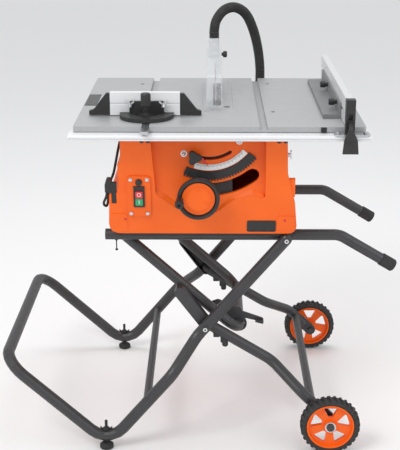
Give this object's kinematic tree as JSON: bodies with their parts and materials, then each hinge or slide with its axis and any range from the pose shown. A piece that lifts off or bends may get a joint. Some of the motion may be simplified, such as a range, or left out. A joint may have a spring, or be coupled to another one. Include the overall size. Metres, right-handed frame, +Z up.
{
  "type": "table saw",
  "caption": "Jobsite table saw with a tilting blade, rip fence, mitre gauge and blade guard on a folding wheeled stand with a foot loop.",
  "frame": {"origin": "on the floor under the middle of the machine, measured without the power cord and its coil and plug", "axes": "+Z up, +X to the right of a user who faces the switch, +Y away from that user"},
  "size_m": [1.0714, 0.75, 1.1423],
  "materials": {
    "orange_plastic": "moulded plastic, fine grain",
    "black_plastic": "moulded black plastic",
    "rubber": "soft black rubber",
    "tyre": "ribbed solid tyre",
    "stand_paint": "semi-gloss dark grey powder coat",
    "cast_top": "ground cast surface",
    "cast_frame": "raw casting",
    "extrusion": "clear anodised extrusion",
    "steel": "bright plated steel",
    "clear_guard": "clear polycarbonate",
    "red": "glossy red",
    "green": "glossy green"
  },
  "bodies": {
    "base": {"rail_front": "stand_paint", "rail_back": "stand_paint", "rail_grip_front": "rubber", "rail_grip_back": "rubber", "housing": "orange_plastic", "table_top": "cast_top", "throat_plate": "cast_top", "front_rail": "extrusion", "switch_plate": "orange_plastic", "switch_body": "black_plastic", "dust_port": "black_plastic", "bevel_rack": "black_plastic", "bevel_scale": "extrusion", "hose": "rubber", "power_cord": "rubber", "cord_coil": "rubber", "plug": "black_plastic"},
    "legs": {"leg_front": "stand_paint", "leg_back": "stand_paint", "leg_loop": "stand_paint", "leg_cross": "stand_paint"},
    "brace": {"brace": "stand_paint"},
    "wheel_frame": {"wheel_arm_front": "stand_paint", "wheel_arm_back": "stand_paint", "wheel_cross": "stand_paint"},
    "wheel_front": {"tyre_front": "tyre", "rim_front": "orange_plastic"},
    "wheel_back": {"tyre_back": "tyre", "rim_back": "orange_plastic"},
    "foot_front": {"levelling_foot_front": "rubber"},
    "foot_back": {"levelling_foot_back": "rubber"},
    "latch": {"latch_pedal": "stand_paint"},
    "carriage": {"carriage": "cast_frame", "splitter": "steel", "guard_riser": "clear_guard"},
    "saw_unit": {"motor": "black_plastic"},
    "blade": {"blade": "steel", "arbor": "steel"},
    "handwheel": {"handwheel": "black_plastic", "handwheel_cover": "orange_plastic"},
    "crank_knob": {"crank_knob": "black_plastic"},
    "lock_knob": {"lock_knob": "black_plastic"},
    "guard_hood": {"guard_hood": "clear_guard"},
    "guard_knob": {"guard_knob": "black_plastic"},
    "rip_fence": {"fence_body": "extrusion", "fence_head": "black_plastic", "fence_foot": "steel"},
    "fence_lever": {"fence_lever": "black_plastic"},
    "aux_fence": {"aux_fence": "extrusion"},
    "aux_knob_front": {"aux_knob_front": "black_plastic"},
    "aux_knob_back": {"aux_knob_back": "black_plastic"},
    "mitre_gauge": {"gauge_bar": "steel"},
    "mitre_head": {"gauge_head": "black_plastic", "gauge_fence": "extrusion", "gauge_end_left": "black_plastic", "gauge_end_right": "black_plastic"},
    "mitre_knob": {"gauge_knob": "black_plastic"},
    "button_off": {"button_off": "red"},
    "button_on": {"button_on": "green"},
    "reset_button": {"reset_button": "black_plastic"}
  },
  "joints": [
    {"name": "leg_fold", "type": "hinge", "parent": "base", "child": "legs", "pos_m": [0.23312, 0.005, 0.581], "axis": [0, 1, 0], "range_deg": [0, 41]},
    {"name": "brace_fold", "type": "hinge", "parent": "base", "child": "brace", "pos_m": [-0.21488, 0.005, 0.581], "axis": [0, 1, 0], "range_deg": [-36.6, 0]},
    {"name": "wheel_frame_fold", "type": "hinge", "parent": "legs", "child": "wheel_frame", "pos_m": [0.01812, 0.005, 0.326], "axis": [0, 1, 0], "range_deg": [0, 76.7]},
    {"name": "wheel_front_spin", "type": "hinge", "parent": "wheel_frame", "child": "wheel_front", "pos_m": [0.35812, -0.335, 0.081], "axis": [0, 1, 0], "continuous": true},
    {"name": "wheel_back_spin", "type": "hinge", "parent": "wheel_frame", "child": "wheel_back", "pos_m": [0.35812, 0.345, 0.081], "axis": [0, 1, 0], "continuous": true},
    {"name": "foot_front_turn", "type": "hinge", "parent": "legs", "child": "foot_front", "pos_m": [-0.25243, -0.322, 0], "axis": [0, 0, 1], "continuous": true},
    {"name": "foot_back_turn", "type": "hinge", "parent": "legs", "child": "foot_back", "pos_m": [-0.25243, 0.332, 0], "axis": [0, 0, 1], "continuous": true},
    {"name": "latch_press", "type": "hinge", "parent": "brace", "child": "latch", "pos_m": [0.11312, -0.12, 0.286], "axis": [0, 1, 0], "range_deg": [0, 15], "stiffness_Nm_per_rad": 2, "springref_deg": -11.46},
    {"name": "bevel_tilt", "type": "hinge", "parent": "base", "child": "carriage", "pos_m": [0.02712, 0.005, 0.905], "axis": [0, -1, 0], "range_deg": [0, 45], "deforming": ["hose"]},
    {"name": "blade_lift", "type": "slide", "parent": "carriage", "child": "saw_unit", "axis": [0, 0, 1], "range_m": [-0.044, 0.033]},
    {"name": "blade_spin", "type": "hinge", "parent": "saw_unit", "child": "blade", "pos_m": [0.04512, 0.0695, 0.82], "axis": [1, 0, 0], "continuous": true},
    {"name": "handwheel_turn", "type": "hinge", "parent": "carriage", "child": "handwheel", "pos_m": [0.00021, -0.325, 0.71591], "axis": [0, 1, 0], "range_deg": [-1441, 1081]},
    {"name": "crank_knob_spin", "type": "hinge", "parent": "handwheel", "child": "crank_knob", "pos_m": [-0.04729, -0.325, 0.71591], "axis": [0, 1, 0], "continuous": true},
    {"name": "lock_knob_turn", "type": "hinge", "parent": "carriage", "child": "lock_knob", "pos_m": [-0.01038, -0.287, 0.81446], "axis": [0, 1, 0], "continuous": true},
    {"name": "guard_lift", "type": "hinge", "parent": "carriage", "child": "guard_hood", "pos_m": [0.04512, 0.161, 0.995], "axis": [-1, 0, 0], "range_deg": [0, 45]},
    {"name": "guard_knob_turn", "type": "hinge", "parent": "carriage", "child": "guard_knob", "pos_m": [0.06242, 0.217, 0.997], "axis": [1, 0, 0], "continuous": true},
    {"name": "fence_slide", "type": "slide", "parent": "base", "child": "rip_fence", "axis": [1, 0, 0], "range_m": [-0.25, 0.02]},
    {"name": "fence_lever_lift", "type": "hinge", "parent": "rip_fence", "child": "fence_lever", "pos_m": [0.37712, -0.335, 0.923], "axis": [-1, 0, 0], "range_deg": [0, 60]},
    {"name": "aux_fence_slide", "type": "slide", "parent": "rip_fence", "child": "aux_fence", "axis": [0, 1, 0], "range_m": [-0.09, 0.07]},
    {"name": "aux_knob_front_turn", "type": "hinge", "parent": "aux_fence", "child": "aux_knob_front", "pos_m": [0.36202, -0.155, 0.935], "axis": [1, 0, 0], "continuous": true},
    {"name": "aux_knob_back_turn", "type": "hinge", "parent": "aux_fence", "child": "aux_knob_back", "pos_m": [0.36202, 0.08, 0.935], "axis": [1, 0, 0], "continuous": true},
    {"name": "mitre_slide", "type": "slide", "parent": "base", "child": "mitre_gauge", "axis": [0, -1, 0], "range_m": [-0.25, 0.05]},
    {"name": "mitre_turn", "type": "hinge", "parent": "mitre_gauge", "child": "mitre_head", "pos_m": [-0.13488, -0.213, 0.905], "axis": [0, 0, 1], "range_deg": [-60, 60]},
    {"name": "mitre_knob_turn", "type": "hinge", "parent": "mitre_gauge", "child": "mitre_knob", "pos_m": [-0.13488, -0.243, 0.905], "axis": [0, 0, 1], "continuous": true},
    {"name": "off_press", "type": "slide", "parent": "base", "child": "button_off", "axis": [0, 0.9884, 0.152], "range_m": [0, 0.003], "stiffness_N_per_m": 400, "springref_m": -0.002},
    {"name": "on_press", "type": "slide", "parent": "base", "child": "button_on", "axis": [0, 0.9884, 0.152], "range_m": [0, 0.003], "stiffness_N_per_m": 400, "springref_m": -0.002},
    {"name": "reset_press", "type": "slide", "parent": "base", "child": "reset_button", "axis": [0, 0.9884, 0.152], "range_m": [0, 0.0025], "stiffness_N_per_m": 400, "springref_m": -0.002}
  ],
  "couplings": [
    {"joint": "brace_fold", "follows": "leg_fold", "ratio": -0.8904},
    {"joint": "wheel_frame_fold", "follows": "leg_fold", "ratio": 1.8674},
    {"joint": "handwheel_turn", "follows": "blade_lift", "rad_per_m": 571.2}
  ]
}
